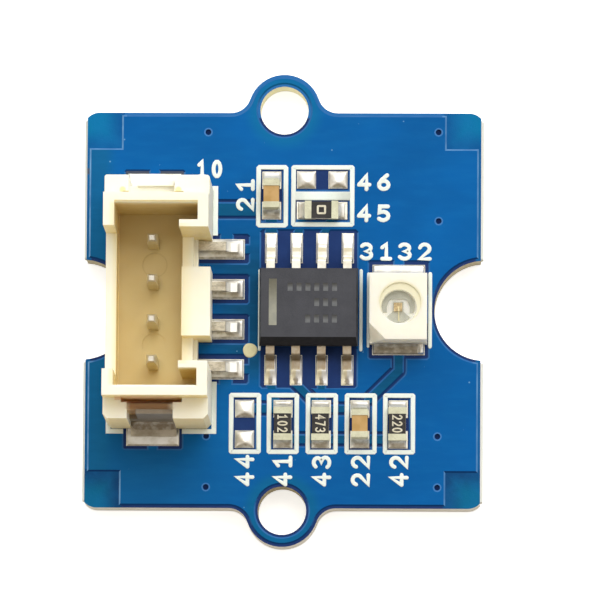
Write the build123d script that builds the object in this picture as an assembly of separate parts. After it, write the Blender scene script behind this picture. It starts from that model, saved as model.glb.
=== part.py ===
from build123d import *
import math
import os

os.makedirs("parts", exist_ok=True)

# Light sensor module: a small circuit board with a socket, an amplifier and a photodiode.
# X runs to the photodiode side, Y along the socket, Z up out of the board.
# The origin is the middle of the board outline on its underside.

# Board outline
board_x = 19.6
board_y = 19.75
corner_r = 0.8
corner_over = 0.2
score_out = 0.13
score_y0 = 2.6
score_y1 = 9.5
score_web = 0.45
score_lip = 0.05
hole_pitch = 20.0
hole_r = 1.2
ear_r = 1.8
ear_fillet_r = 1.0
notch_r = 2.5
notch_x = 10.0

# Board layers
laminate_t = 1.56
copper_t = 0.04
deck = laminate_t + copper_t
pour_inset = 0.2
hole_clearance = 0.2
bare_corner = 8.0

# Plated through holes
via_r = 0.22
via_dish_r = 0.15
via_dish = 0.1
via_sides = 12
via_points = [(-3.78, 8.9), (7.68, 8.92), (7.7, 4.47), (-3.78, -6.3), (7.68, -6.29),
              (-3.78, -8.84), (7.68, -8.83)]

# Socket
pin_pitch = 2.0
pin_count = 4
housing_x0 = -8.68
housing_x1 = -3.52
housing_y = 0.08
base_half = 6.02
base_h = 4.9
base_chamfer = 0.22
upper_chamfer = 0.08
shroud_half = 5.0
shroud_h = 6.2
cavity_half = 4.5
cavity_x0 = -8.14
cavity_x1 = -4.95
floor_h = 1.2
pocket_x1 = -4.04
rib_inner = 3.3
rib_outer = 3.65
side_wall_h = 3.0
sill_h = 2.0
sill_x1 = -4.4
sill_foot_x1 = -4.2
bump_half = 1.71
rim_chamfer = 0.1
mark_r = 0.6
mark_depth = 0.05

# Socket contacts
pin_x = -6.36
pin_w = 0.5
pin_h = 4.2
pin_tip_w = 0.24
pin_tip_l = 0.5
tail_w = 0.45
tail_t = 0.27
tail_low = 0.62
tail_bend_x = -2.94
tail_foot_x = -2.7
tail_end_x = -2.28
tail_slot_gap = 0.03
solder_film = 0.05

# Socket anchor plates
plate_x0 = -7.08
plate_x1 = -5.28
plate_in = base_half - 0.49
plate_t = 0.22
plate_h = 4.5
recess_x0 = -7.5
recess_x1 = -5.24
bridge_h = 4.25
slit_x0 = -7.8
slit_x1 = -4.8
slit_low = 3.0
slit_out = base_half - 0.8
barb_low = 1.0
barb_high = 2.0
foot_out = base_half + 0.4

# Socket pads
pad_row_y = 0.03
signal_pad_w = 1.0
signal_pad_x0 = -5.4
signal_pad_x1 = -1.93
anchor_pad_x = -6.43
anchor_pad_w = 2.62
anchor_pad_in = base_half - 1.72
anchor_pad_out = base_half + 0.78

# Amplifier in a small outline case
amp_x = 1.29
amp_y = 0.05
amp_pitch = 1.27
amp_l = 4.9
amp_w = 3.9
amp_gap = 0.1
amp_part = 0.82
amp_h = 1.52
amp_draft = 0.09
amp_bevel_y = 1.56
amp_bevel_low = 1.08
lead_w = 0.42
lead_t = 0.2
lead_shoulder = 2.32
lead_heel = 2.58
lead_toe = 3.05
lead_lift = 0.02
lead_root = 1.6
amp_pad_w = 0.6
amp_pad_heel = 0.28
amp_pad_toe = 0.75
amp_pad_in = lead_heel - amp_pad_heel
amp_pad_out = lead_toe + amp_pad_toe
amp_field_in = 0.48
amp_field_out = 0.2
amp_field_side = 0.28

# Photodiode
diode_x = 5.73
diode_y = 0.02
diode_l = 3.5
diode_w = 2.84
diode_h = 1.75
diode_mid = 0.9
diode_top_l = 3.3
index_x = 0.61
index_y = 0.84
index_low_y = 1.6
terminal_w = 2.35
terminal_t = 0.12
terminal_in = 1.0
well_x = 5.84
well_y = 0.16
well_r = 1.03
well_low_r = 0.98
well_floor = 1.25
window_top = 1.68
frame_t = 0.08
frame_r = 0.8
fan_start = 222
fan_stop = 318
arch_half = 0.57
arch_neck = 0.36
arch_top = 0.39
arch_low = -0.28
die_side = 0.42
die_t = 0.12
wire_t = 0.05
wire_lift = 0.08
well_step = well_floor + frame_t + die_t + wire_lift + 0.04
diode_pad_w = 2.6
diode_pad_in = 0.9
diode_pad_out = 2.25

# Chip parts
chip_l = 1.66
chip_w = 0.9
chip_h = 0.45
chip_end = 0.33
plating = 0.03
coat_t = 0.03
cap_l = 1.56
cap_w = 0.82
cap_h = 0.8
cap_end = 0.38
cap_cut = 0.09
chip_pad_w = 0.94
chip_pad_l = 0.87
chip_pad_pitch = 1.52
row_pitch = 1.905
row_x = -1.88
row_y = -5.69
upper_y = 6.52
lower_y = 4.98
pair_x = 1.9
upper_cap_x = -0.61
upper_cap_y = 5.735

# Gaps in the copper
gap_cut = 0.45
signal_gap = 0.28
anchor_gap = 0.22
chip_gap = 0.14
diode_gap = 0.25
spoke_w = 0.4
foot_spoke_x0 = -3.1
foot_spoke_x1 = -2.55
track_gap = 0.23
track_w = 0.38
wide_track_w = 0.6


# Shapes used for many parts
def block(x0, x1, y0, y1, z0, z1):
    size = Box(abs(x1 - x0), abs(y1 - y0), abs(z1 - z0))
    return Pos((x0 + x1) / 2, (y0 + y1) / 2, (z0 + z1) / 2) * size


def rect(x0, x1, y0, y1):
    return Pos((x0 + x1) / 2, (y0 + y1) / 2) * Rectangle(abs(x1 - x0), abs(y1 - y0))


def sheet(face, z0, t):
    return extrude(Pos(0, 0, z0) * face, amount=t)


def side_profile(points, x, width):
    face = make_face(Polyline(*points, close=True))
    return Pos(x, 0, 0) * extrude(Plane.YZ * face, amount=width / 2, both=True)


def front_profile(points, y, width):
    face = make_face(Polyline(*points, close=True))
    return Pos(0, y, 0) * extrude(Plane.XZ * face, amount=width / 2, both=True)


def taper(low, high, z0, z1):
    a = Pos(0, 0, z0) * rect(*low)
    b = Pos(0, 0, z1) * rect(*high)
    return loft([a, b])


def strip(points, width):
    face = None
    for (xa, ya), (xb, yb) in zip(points, points[1:]):
        length = math.hypot(xb - xa, yb - ya)
        angle = math.degrees(math.atan2(yb - ya, xb - xa))
        bar = Pos((xa + xb) / 2, (ya + yb) / 2) * Rot(0, 0, angle) * Rectangle(length, width)
        bar += Pos(xa, ya) * Circle(width / 2) + Pos(xb, yb) * Circle(width / 2)
        face = bar if face is None else face + bar
    return face


def solids(items):
    flat = []
    for item in items:
        flat.extend(item.solids())
    return Compound(children=flat) if len(flat) > 1 else flat[0]


def save(name, shape):
    export_step(shape, f"parts/{name}.step")


# Board outline, drawn smaller by an inset for the copper
def board_ear(sign, inset):
    middle = sign * hole_pitch / 2
    edge = sign * (board_y / 2 - inset)
    lobe_r = ear_r - inset
    bend_r = ear_fillet_r + inset
    bend_y = edge + sign * bend_r
    bend_x = math.sqrt((lobe_r + bend_r) ** 2 - (bend_y - middle) ** 2)
    share = lobe_r / (lobe_r + bend_r)
    touch_x = bend_x * share
    touch_y = middle + (bend_y - middle) * share
    root = edge - sign * 0.4
    web = make_face(Polyline((-bend_x, root), (-bend_x, edge), (-touch_x, touch_y),
                             (touch_x, touch_y), (bend_x, edge), (bend_x, root), close=True))
    shape = Pos(0, middle) * Circle(lobe_r) + web
    for side in (-1, 1):
        shape -= Pos(side * bend_x, bend_y) * Circle(bend_r)
    return shape


def board_face(inset, bore):
    wide = board_x - 2 * inset
    tall = board_y - 2 * inset
    face = RectangleRounded(wide + 2 * corner_over, tall, corner_r) & Rectangle(wide, tall)
    for sign in (-1, 1):
        face += board_ear(sign, inset)
        face -= Pos(sign * notch_x, 0) * Circle(notch_r + inset)
        face -= Pos(0, sign * hole_pitch / 2) * Circle(bore)
    return face


# Pad rectangles, as x0, x1, y0, y1
signal_ys = [pad_row_y + pin_pitch * (1.5 - i) for i in range(pin_count)]
pin_ys = [housing_y + pin_pitch * (1.5 - i) for i in range(pin_count)]
signal_pads = [(signal_pad_x0, signal_pad_x1, y - signal_pad_w / 2, y + signal_pad_w / 2)
               for y in signal_ys]
anchor_pads = [(anchor_pad_x - anchor_pad_w / 2, anchor_pad_x + anchor_pad_w / 2,
                sign * anchor_pad_in, sign * anchor_pad_out) for sign in (1, -1)]
lead_xs = [amp_x + amp_pitch * (i - 1.5) for i in range(4)]
amp_pads = [(x - amp_pad_w / 2, x + amp_pad_w / 2, amp_y + sign * amp_pad_in,
             amp_y + sign * amp_pad_out) for sign in (-1, 1) for x in lead_xs]
diode_pads = [(diode_x - diode_pad_w / 2, diode_x + diode_pad_w / 2,
               diode_y + sign * diode_pad_in, diode_y + sign * diode_pad_out)
              for sign in (-1, 1)]
row_xs = [row_x + row_pitch * i for i in range(5)]


def upright_pads(x, y):
    pads = []
    for sign in (-1, 1):
        middle = y + sign * chip_pad_pitch / 2
        pads.append((x - chip_pad_w / 2, x + chip_pad_w / 2,
                     middle - chip_pad_l / 2, middle + chip_pad_l / 2))
    return pads


def flat_pads(x, y):
    pads = []
    for sign in (-1, 1):
        middle = x + sign * (chip_pad_pitch + 0.05) / 2
        pads.append((middle - chip_pad_w / 2, middle + chip_pad_w / 2,
                     y - chip_pad_l / 2, y + chip_pad_l / 2))
    return pads


row_pads = []
for x in row_xs:
    row_pads += upright_pads(x, row_y)
cap_pads = upright_pads(upper_cap_x, upper_cap_y)
spare_pads = flat_pads(pair_x, upper_y)
link_pads = flat_pads(pair_x, lower_y)
chip_pads = row_pads + cap_pads + spare_pads + link_pads


# Laminate with its two screw holes, side notches and plated holes
laminate = sheet(board_face(0, hole_r), 0, laminate_t)
for x, y in via_points:
    laminate -= sheet(Pos(x, y) * RegularPolygon(via_r, via_sides), 0, laminate_t)

# The two scored sides keep a low broken web on each side of the notch
web_low = (laminate_t - score_web) / 2
for side in (-1, 1):
    rim = side * board_x / 2
    out = rim + side * score_out
    for sign in (-1, 1):
        laminate += front_profile([(rim - side * 0.2, score_lip), (rim, score_lip), (out, web_low),
                                   (out, laminate_t - web_low), (rim, laminate_t - score_lip),
                                   (rim - side * 0.2, laminate_t - score_lip)],
                                  sign * (score_y0 + score_y1) / 2, score_y1 - score_y0)
save("circuit_board", laminate)

# Plated holes are filled with mask and dished on top
barrels = []
for x, y in via_points:
    plug = sheet(Pos(x, y) * RegularPolygon(via_r, via_sides), 0, deck)
    barrels.append(plug - sheet(Pos(x, y) * RegularPolygon(via_dish_r, via_sides), deck - via_dish, 1))
save("via_barrels", solids(barrels))


# Copper plane: the outline pulled in, open round every pad and signal track
def cut_rect(x0, x1, y0, y1, cut):
    return make_face(Polyline((x0 + cut, y0), (x1 - cut, y0), (x1, y0 + cut), (x1, y1 - cut),
                              (x1 - cut, y1), (x0 + cut, y1), (x0, y1 - cut), (x0, y0 + cut),
                              close=True))


def grown(pad, gap):
    x0, x1, y0, y1 = pad
    return cut_rect(x0 - gap, x1 + gap, min(y0, y1) - gap, max(y0, y1) + gap, gap * gap_cut)


pour = board_face(pour_inset, hole_r + hole_clearance)
for sx in (-1, 1):
    for sy in (-1, 1):
        pour -= rect(sx * bare_corner, sx * board_x, sy * bare_corner, sy * board_y)
for x, y in via_points:
    pour -= Pos(x, y) * RegularPolygon(via_r, via_sides)
for pad in signal_pads:
    pour -= grown(pad, signal_gap)
for pad in anchor_pads:
    pour -= grown(pad, anchor_gap)
for x in row_xs:
    low, high = upright_pads(x, row_y)
    pour -= grown((low[0], low[1], low[2], high[3]), chip_gap)
low, high = cap_pads
pour -= grown((low[0], low[1], low[2], high[3]), chip_gap)
for left, right in (spare_pads, link_pads):
    pour -= grown((left[0], right[1], left[2], left[3]), chip_gap)

# Open field round the amplifier leads and under the photodiode
field_x0 = lead_xs[0] - amp_pad_w / 2 - amp_field_side
field_x1 = lead_xs[3] + amp_pad_w / 2 + amp_field_side * 0.85
for sign in (-1, 1):
    near = amp_y + sign * (amp_pad_in - amp_field_in)
    far = amp_y + sign * (amp_pad_out + amp_field_out)
    pour -= cut_rect(field_x0, field_x1, min(near, far), max(near, far), amp_field_out * 0.7)
for pad in diode_pads:
    pour -= grown(pad, diode_gap)
pour -= rect(diode_x - diode_pad_w / 2, diode_x + diode_pad_w / 2,
             diode_y - diode_pad_in - diode_gap, diode_y + diode_pad_in + diode_gap)

# Tracks, and the gap kept on both sides of each
low_y = row_y - chip_pad_pitch / 2
high_y = row_y + chip_pad_pitch / 2
tracks = [
    ([(anchor_pad_x + 0.8, 5.02), (upper_cap_x - 0.4, 5.02)], wide_track_w),
    ([(diode_x + 0.02, -2.2), (diode_x + 0.02, -3.02), (4.3, -4.45)], track_w),
    ([(lead_xs[1], -3.7), (row_xs[2], high_y)], track_w * 0.9),
    ([(row_xs[0], high_y), (row_xs[1], high_y)], track_w),
    ([(row_xs[1], low_y), (row_xs[4], low_y)], track_w),
    ([(row_xs[2], high_y), (row_xs[3], high_y)], track_w * 0.8),
]
stubs = [
    ([(lead_xs[0], 3.6), (lead_xs[0], 4.6)], track_w * 1.4),
    ([(lead_xs[1], 3.6), (lead_xs[1] + 0.3, 4.7)], track_w),
    ([(lead_xs[2], 3.6), (lead_xs[2] + 0.5, 4.7)], track_w * 0.9),
    ([(lead_xs[0], -3.6), (lead_xs[0] + 0.25, -4.7)], track_w),
    ([(lead_xs[2], -3.6), (lead_xs[2], -4.7)], track_w * 0.85),
]
track_face = None
for points, width in tracks:
    pour -= strip(points, width + 2 * track_gap)
for points, width in tracks + stubs:
    piece = strip(points, width)
    track_face = piece if track_face is None else track_face + piece
for pad in signal_pads + anchor_pads + amp_pads + diode_pads + chip_pads:
    track_face -= rect(*pad)
track_face -= pour

# Narrow bridges from the plane to the pads that belong to it
for pad in (signal_pads[0], signal_pads[3]):
    middle = (pad[2] + pad[3]) / 2
    pour += rect(pad[1], pad[1] + signal_gap + 0.05, middle - spoke_w / 2, middle + spoke_w / 2)
upper_signal = signal_pads[0]
pour += rect(foot_spoke_x0, foot_spoke_x1, upper_signal[3], upper_signal[3] + signal_gap + 0.05)
lower_signal = signal_pads[3]
pour += rect(foot_spoke_x0, foot_spoke_x1, lower_signal[2] - signal_gap - 0.05, lower_signal[2])
for pad in anchor_pads:
    outer = pad[3]
    reach = math.copysign(anchor_gap + 0.05, outer)
    pour += rect(anchor_pad_x - spoke_w / 2, anchor_pad_x + spoke_w / 2, outer, outer + reach)
diode_upper = diode_pads[1]
pour += rect(diode_x - spoke_w / 2, diode_x + spoke_w / 2, diode_upper[3],
             diode_upper[3] + diode_gap + 0.05)
save("copper_plane", solids([sheet(pour, laminate_t, copper_t)]))
save("copper_tracks", solids([sheet(track_face, laminate_t, copper_t)]))


def pad_plates(pads):
    return [block(p[0], p[1], p[2], p[3], laminate_t, deck) for p in pads]


save("connector_pads", solids(pad_plates(signal_pads + anchor_pads)))
save("amplifier_pads", solids(pad_plates(amp_pads)))
save("photodiode_pads", solids(pad_plates(diode_pads)))
save("chip_pads", solids(pad_plates(chip_pads)))


# Socket housing
def hy(offset):
    return housing_y + offset


base = block(housing_x0, housing_x1, hy(-base_half), hy(base_half), deck, deck + base_h)
uprights = base.edges().filter_by(Axis.Z)
base = chamfer([e for e in uprights if e.center().Y < housing_y], base_chamfer)
uprights = base.edges().filter_by(Axis.Z)
base = chamfer([e for e in uprights if e.center().Y > housing_y], upper_chamfer)
shroud = block(housing_x0, housing_x1, hy(-shroud_half), hy(shroud_half), deck, deck + shroud_h)
housing = base + shroud
top_z = deck + shroud_h + 1
floor_z = deck + floor_h
cavity = block(cavity_x0, cavity_x1, hy(-cavity_half), hy(cavity_half), floor_z, top_z)
housing -= cavity
for sign in (-1, 1):
    housing -= block(cavity_x1 - 0.1, pocket_x1, hy(sign * rib_outer), hy(sign * cavity_half),
                     floor_z, top_z)

# The long walls are cut down between the corner posts
housing -= block(housing_x0 - 1, cavity_x0 + 0.1, hy(-rib_outer - 0.06), hy(rib_outer + 0.06 - 0.35),
                 deck + side_wall_h, top_z)
housing -= block(cavity_x1 - 0.1, housing_x1 + 1, hy(-rib_inner), hy(rib_inner),
                 deck + side_wall_h, top_z)
for sign in (-1, 1):
    housing -= block(cavity_x1 - 0.1, housing_x1 + 1, hy(sign * bump_half), hy(sign * rib_inner),
                     deck + sill_h, top_z)
    housing -= block(sill_x1, housing_x1 + 1, hy(sign * bump_half), hy(sign * rib_inner),
                     deck + floor_h * 0.8, top_z)
    housing -= block(sill_foot_x1, housing_x1 + 1, hy(sign * bump_half), hy(sign * rib_inner),
                     deck - 1, top_z)

# Slots under the floor for the tails, and square holes for the pins
for y in pin_ys:
    slot_w = tail_w + 2 * tail_slot_gap
    housing -= block(pin_x - pin_w / 2, housing_x1 + 1, y - slot_w / 2, y + slot_w / 2,
                     deck - 1, deck + tail_low + tail_t)
    housing -= block(pin_x - pin_w / 2, pin_x + pin_w / 2, y - pin_w / 2, y + pin_w / 2,
                     deck - 1, floor_z + 1)

# Openings at both ends for the anchor plates
for sign in (-1, 1):
    housing -= block(recess_x0, recess_x1, hy(sign * plate_in), hy(sign * (base_half + 1)),
                     deck - 1, deck + base_h + 1)
    housing -= block(recess_x0, recess_x1, hy(sign * (slit_out - 0.1)), hy(sign * (plate_in + 0.1)),
                     deck + bridge_h, deck + base_h + 1)
    housing -= block(slit_x0, slit_x1, hy(sign * shroud_half), hy(sign * slit_out),
                     deck + slit_low, deck + base_h + 1)

# Round marks moulded into the floor
for y in (pin_ys[0] + pin_ys[1], pin_ys[2] + pin_ys[3]):
    disc = Cylinder(mark_r, mark_depth * 2)
    housing -= Pos(pin_x + 0.02, y / 2, floor_z) * disc

# Small bevel along the mouth of the socket
rim_z = deck + shroud_h
mouth = [e for e in housing.edges().filter_by(GeomType.LINE)
         if abs(e.center().Z - rim_z) < 1e-6 and e.length > 1.5]
mouth = [e for e in mouth if abs(abs(e.center().Y - housing_y) - cavity_half) < 1e-3]
housing = chamfer(mouth, rim_chamfer)
save("connector_housing", solids([housing]))


# Socket pins: an upright post with a flat tail bent down to its pad
def connector_pin(y):
    low = deck + tail_low
    high = low + tail_t
    foot = deck + solder_film
    post_top = deck + pin_h - pin_tip_l
    tail = front_profile([(pin_x - pin_w / 2, low), (tail_bend_x, low),
                          (tail_foot_x - 0.04, foot), (tail_end_x, foot),
                          (tail_end_x, foot + tail_t), (tail_foot_x + 0.06, foot + tail_t),
                          (tail_bend_x + 0.12, high), (pin_x - pin_w / 2, high)], y, tail_w)
    bends = [e for e in tail.edges().filter_by(Axis.Y)
             if tail_bend_x - 0.05 < e.center().X < tail_foot_x + 0.1]
    tail = fillet(bends, 0.12)
    post = block(pin_x - pin_w / 2, pin_x + pin_w / 2, y - pin_w / 2, y + pin_w / 2,
                 high, post_top)
    a = Pos(pin_x, y, post_top) * Rectangle(pin_w, pin_w)
    b = Pos(pin_x, y, post_top + pin_tip_l) * Rectangle(pin_tip_w, pin_tip_w)
    return tail + post + loft([a, b])


for index, y in enumerate(pin_ys):
    save(f"connector_pin_{index + 1}", solids([connector_pin(y)]))


# Anchor plates: upright plate in the end opening and a foot on the pad
def anchor_plate(sign):
    y0 = hy(sign * plate_in)
    y1 = hy(sign * (plate_in + plate_t))
    low = deck + solder_film
    plate = block(plate_x0, plate_x1, y0, y1, low, deck + plate_h)
    plate += block(recess_x0, recess_x1, y0, y1, deck + barb_low, deck + barb_high)
    plate += block(recess_x0, recess_x1, y0, hy(sign * foot_out), low, low + plate_t)
    bend = [e for e in plate.edges().filter_by(Axis.X)
            if abs(e.center().Z - low - plate_t) < 1e-6 and abs(e.center().Y - y1) < 1e-3]
    return fillet(bend, 0.12)


save("connector_anchor_upper", solids([anchor_plate(1)]))
save("connector_anchor_lower", solids([anchor_plate(-1)]))


# Amplifier case: two drafted halves with a long bevel on the first-pin side
def amp_rect(shrink):
    return (amp_x - amp_l / 2 + shrink, amp_x + amp_l / 2 - shrink,
            amp_y - amp_w / 2 + shrink, amp_y + amp_w / 2 - shrink)


lower_half = taper(amp_rect(amp_draft), amp_rect(0), deck + amp_gap, deck + amp_part)
upper_half = taper(amp_rect(0), amp_rect(amp_draft), deck + amp_part, deck + amp_h)
amp_body = lower_half + upper_half
side_y = amp_y - amp_w / 2
amp_body -= side_profile([(amp_y - amp_bevel_y, deck + amp_h + 0.001),
                          (side_y + 0.02, deck + amp_bevel_low),
                          (side_y - 0.5, deck + amp_bevel_low),
                          (side_y - 0.5, deck + amp_h + 0.5),
                          (amp_y - amp_bevel_y, deck + amp_h + 0.5)], amp_x, amp_l + 1)
save("amplifier_body", solids([amp_body]))


# Gull-wing leads
def amp_lead(x, sign):
    mid = deck + amp_part
    foot = deck + lead_lift
    points = [(lead_root, mid - lead_t / 2), (lead_shoulder - 0.1, mid - lead_t / 2),
              (lead_heel - 0.16, foot), (lead_toe, foot), (lead_toe, foot + lead_t),
              (lead_heel, foot + lead_t), (lead_shoulder + 0.06, mid + lead_t / 2),
              (lead_root, mid + lead_t / 2)]
    placed = [(amp_y + sign * y, z) for y, z in points]
    lead = side_profile(placed, x, lead_w)
    bends = [e for e in lead.edges().filter_by(Axis.X)
             if lead_shoulder - 0.2 < abs(e.center().Y - amp_y) < lead_heel + 0.05]
    lead = fillet(bends, 0.09)
    return lead - amp_body


numbers = [(x, -1) for x in lead_xs] + [(x, 1) for x in reversed(lead_xs)]
for index, (x, sign) in enumerate(numbers):
    save(f"amplifier_lead_{index + 1}", solids([amp_lead(x, sign)]))


# Photodiode: white case with a round well, metal ends, frame, die, wire and window
def diode_rect(length, width):
    return (diode_x - width / 2, diode_x + width / 2, diode_y - length / 2, diode_y + length / 2)


case_low = block(*diode_rect(diode_l, diode_w), deck + terminal_t, deck + diode_mid)
case_high = taper(diode_rect(diode_l, diode_w), diode_rect(diode_top_l, diode_w),
                  deck + diode_mid, deck + diode_h)
case = case_low + case_high
corner_a = Vector(diode_x - diode_w / 2, diode_y - index_y, deck + diode_h)
corner_b = Vector(diode_x - index_x, diode_y - diode_top_l / 2, deck + diode_h)
corner_c = Vector(diode_x - diode_w / 2, diode_y - index_low_y, deck + diode_mid)
facing = (corner_b - corner_a).cross(corner_c - corner_a).normalized()
if facing.X + facing.Y > 0:
    facing = facing * -1
index_plane = Plane(origin=corner_a, z_dir=facing)
index_cut = extrude(index_plane * Rectangle(2 * diode_l, 2 * diode_l), amount=diode_l)
index_cut &= block(diode_x - diode_l, diode_x + diode_l, diode_y - diode_l, diode_y + diode_l,
                   deck + diode_mid, deck + diode_l)
case -= index_cut
for sign in (-1, 1):
    case -= block(diode_x - terminal_w / 2, diode_x + terminal_w / 2,
                  diode_y + sign * (diode_l / 2 - terminal_t), diode_y + sign * (diode_l / 2 + 1),
                  deck, deck + diode_mid)
case -= Pos(well_x, well_y, deck + diode_h) * Cylinder(well_r, 2 * (diode_h - well_step))
case -= Pos(well_x, well_y, deck + diode_h) * Cylinder(well_low_r, 2 * (diode_h - well_floor))
save("photodiode_case", solids([case]))

for sign, name in ((1, "upper"), (-1, "lower")):
    x0 = diode_x - terminal_w / 2
    x1 = diode_x + terminal_w / 2
    outer = diode_y + sign * diode_l / 2
    inner = diode_y + sign * (diode_l / 2 - terminal_t)
    metal = block(x0, x1, diode_y + sign * terminal_in, outer, deck, deck + terminal_t)
    metal += block(x0, x1, inner, outer, deck, deck + diode_mid)
    save(f"photodiode_terminal_{name}", solids([metal]))

window_disc = Pos(well_x, well_y, deck + (well_step + window_top) / 2) * Cylinder(
    well_r, window_top - well_step)
save("photodiode_window", solids([window_disc]))


def sector(radius, start, stop):
    points = [(0, 0)]
    steps = 24
    for i in range(steps + 1):
        angle = math.radians(start + (stop - start) * i / steps)
        points.append((radius * math.cos(angle), radius * math.sin(angle)))
    return make_face(Polyline(*points, close=True))


arch_mid = (arch_half + arch_neck) / 2
arch = make_face(Polyline((-arch_half, -1), (-arch_half, 0), (-arch_mid, arch_top * 0.75),
                          (-arch_neck, arch_top), (arch_neck, arch_top),
                          (arch_mid, arch_top * 0.75), (arch_half, 0), (arch_half, -1), close=True))
hoop = (Circle(frame_r) & rect(-1, 1, arch_low, 1)) - arch
die_x = diode_x - 0.01
die_y = diode_y - 0.02
fan = sector(3 * frame_r, fan_start, fan_stop) & Circle(frame_r - 0.02)
fan += Rectangle(die_side + 0.08, die_side + 0.1)
frame_z = deck + well_floor
frame = sheet(Pos(diode_x, diode_y) * (hoop + fan), frame_z, frame_t)
save("photodiode_frame", solids([frame]))
die_top = frame_z + frame_t + die_t
save("photodiode_die", block(die_x - die_side / 2, die_x + die_side / 2,
                             die_y - die_side / 2, die_y + die_side / 2,
                             frame_z + frame_t, die_top))
wire_low = frame_z + frame_t
wire_top = die_top + wire_lift
wire_end = die_y - 0.62
wire_profile = [(die_y + 0.02, die_top), (die_y + 0.02, wire_top - 0.03), (die_y - 0.2, wire_top),
                (wire_end - 0.06, wire_low + wire_t), (wire_end - 0.06, wire_low),
                (wire_end, wire_low), (die_y - 0.22, wire_top - wire_t),
                (die_y - 0.04, wire_top - wire_t - 0.02), (die_y - 0.04, die_top)]
wire = side_profile(wire_profile, die_x + 0.04, wire_t)
save("photodiode_wire", solids([wire]))


# Chip parts, drawn along Y round the origin with their underside at zero
def chip_box(length, width, low, high):
    return block(-width / 2, width / 2, -length / 2, length / 2, low, high)


def resistor_shapes():
    core = chip_box(chip_l - 2 * plating, chip_w - 2 * plating, plating, chip_h - plating)
    ends = chip_box(chip_l, chip_w, 0, chip_h) - core
    ends -= chip_box(chip_l - 2 * chip_end, chip_w + 1, -1, chip_h + 1)
    coat = chip_box(chip_l - 2 * chip_end, chip_w - 2 * plating, chip_h - plating,
                    chip_h - plating + coat_t)
    return core, coat, ends


def capacitor_shapes():
    inside = cap_l / 2 - plating
    core = chip_box(2 * inside, cap_w - 2 * plating, plating, cap_h - plating)
    core = chamfer([e for e in core.edges() if abs(abs(e.center().Y) - inside) < 1e-3], cap_cut * 0.6)
    ends = chip_box(cap_l, cap_w, 0, cap_h)
    ends = chamfer([e for e in ends.edges() if abs(abs(e.center().Y) - cap_l / 2) < 1e-3], cap_cut)
    ends = ends - core - chip_box(cap_l - 2 * cap_end, cap_w + 1, -1, cap_h + 1)
    return core, ends


# Fillet of solder from the end face of a part down to the outer edge of its pad
def end_solder(x, inner, outer, width, height):
    lift = 0.04
    a = Pos(x, (inner + outer) / 2, deck) * Rectangle(width, abs(outer - inner))
    low_y = inner + (outer - inner) * 0.88
    b = Pos(x, (inner + low_y) / 2, deck + lift) * Rectangle(width * 0.98, abs(low_y - inner))
    high_y = inner + (outer - inner) * 0.22
    c = Pos(x, (inner + high_y) / 2, deck + height) * Rectangle(width * 0.8, abs(high_y - inner))
    return loft([a, b]) + loft([b, c])


solder_chips = []


def place_upright(x, y, shapes, names, length, height):
    where = Pos(x, y, deck)
    for shape, name in zip(shapes, names):
        save(name, solids([where * shape]))
    for sign in (-1, 1):
        inner = y + sign * length / 2
        outer = y + sign * (chip_pad_pitch + chip_pad_l) / 2 - sign * 0.02
        solder_chips.append(end_solder(x, inner, outer, chip_pad_w - 0.04, height))


place_upright(upper_cap_x, upper_cap_y, capacitor_shapes(),
              ("capacitor_upper_body", "capacitor_upper_ends"), cap_l, 0.55)
place_upright(row_xs[3] + 0.01, row_y - 0.02, capacitor_shapes(),
              ("capacitor_lower_body", "capacitor_lower_ends"), cap_l, 0.55)
for number, x in ((1, row_xs[1] - 0.01), (2, row_xs[2] - 0.04), (3, row_xs[4] - 0.04)):
    names = (f"resistor_{number}_body", f"resistor_{number}_coat", f"resistor_{number}_ends")
    place_upright(x, row_y - 0.01, resistor_shapes(), names, chip_l, 0.36)

quarter = Rot(0, 0, 90)
link = Pos(pair_x - 0.02, lower_y - 0.01, deck) * quarter
for shape, name in zip(resistor_shapes(), ("body", "coat", "ends")):
    save(f"resistor_4_{name}", solids([link * shape]))
for sign in (-1, 1):
    inner = chip_l / 2
    outer = (chip_pad_pitch + 0.05 + chip_pad_w) / 2 - 0.02
    lump = Rot(0, 0, -90 * sign) * (Pos(0, 0, -deck) * end_solder(0, inner, outer, 0.83, 0.36))
    solder_chips.append(Pos(pair_x - 0.02, lower_y - 0.01, deck) * lump)
save("chip_solder", solids(solder_chips))


# Low lumps of solder on the pads that carry no part
def shrunk(pad, inset):
    return (pad[0] + inset, pad[1] - inset, pad[2] + inset, pad[3] - inset)


def dome(pad, rise):
    low = taper(shrunk(pad, 0.01), shrunk(pad, 0.1), deck, deck + rise * 0.65)
    return low + taper(shrunk(pad, 0.1), shrunk(pad, 0.25), deck + rise * 0.65, deck + rise)


bare = spare_pads + upright_pads(row_xs[0], row_y)
save("spare_pad_solder", solids([dome(pad, 0.2) for pad in bare]))

# Solder at the amplifier leads: a film, a lump at the toe and a ramp along each side
lead_solder = []
ramp_h = 0.13
film_half = amp_pad_w / 2 - 0.01
for x, sign in numbers:
    toe = amp_y + sign * lead_toe
    outer = amp_y + sign * (amp_pad_out - 0.02)
    heel = amp_y + sign * (amp_pad_in + 0.02)
    lump = end_solder(x, toe, outer, 2 * film_half, lead_lift + lead_t * 0.9)
    lump += block(x - film_half, x + film_half, heel, toe, deck, deck + lead_lift)
    near = amp_y + sign * (lead_heel + 0.02)
    for side in (-1, 1):
        edge = x + side * lead_w / 2
        rim = x + side * film_half
        ramp = front_profile([(edge, deck + lead_lift), (rim, deck + lead_lift),
                              (edge, deck + lead_lift + ramp_h)], (near + toe) / 2, abs(toe - near))
        lump += ramp
    lead_solder.append(lump)
save("amplifier_solder", solids(lead_solder))

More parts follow.
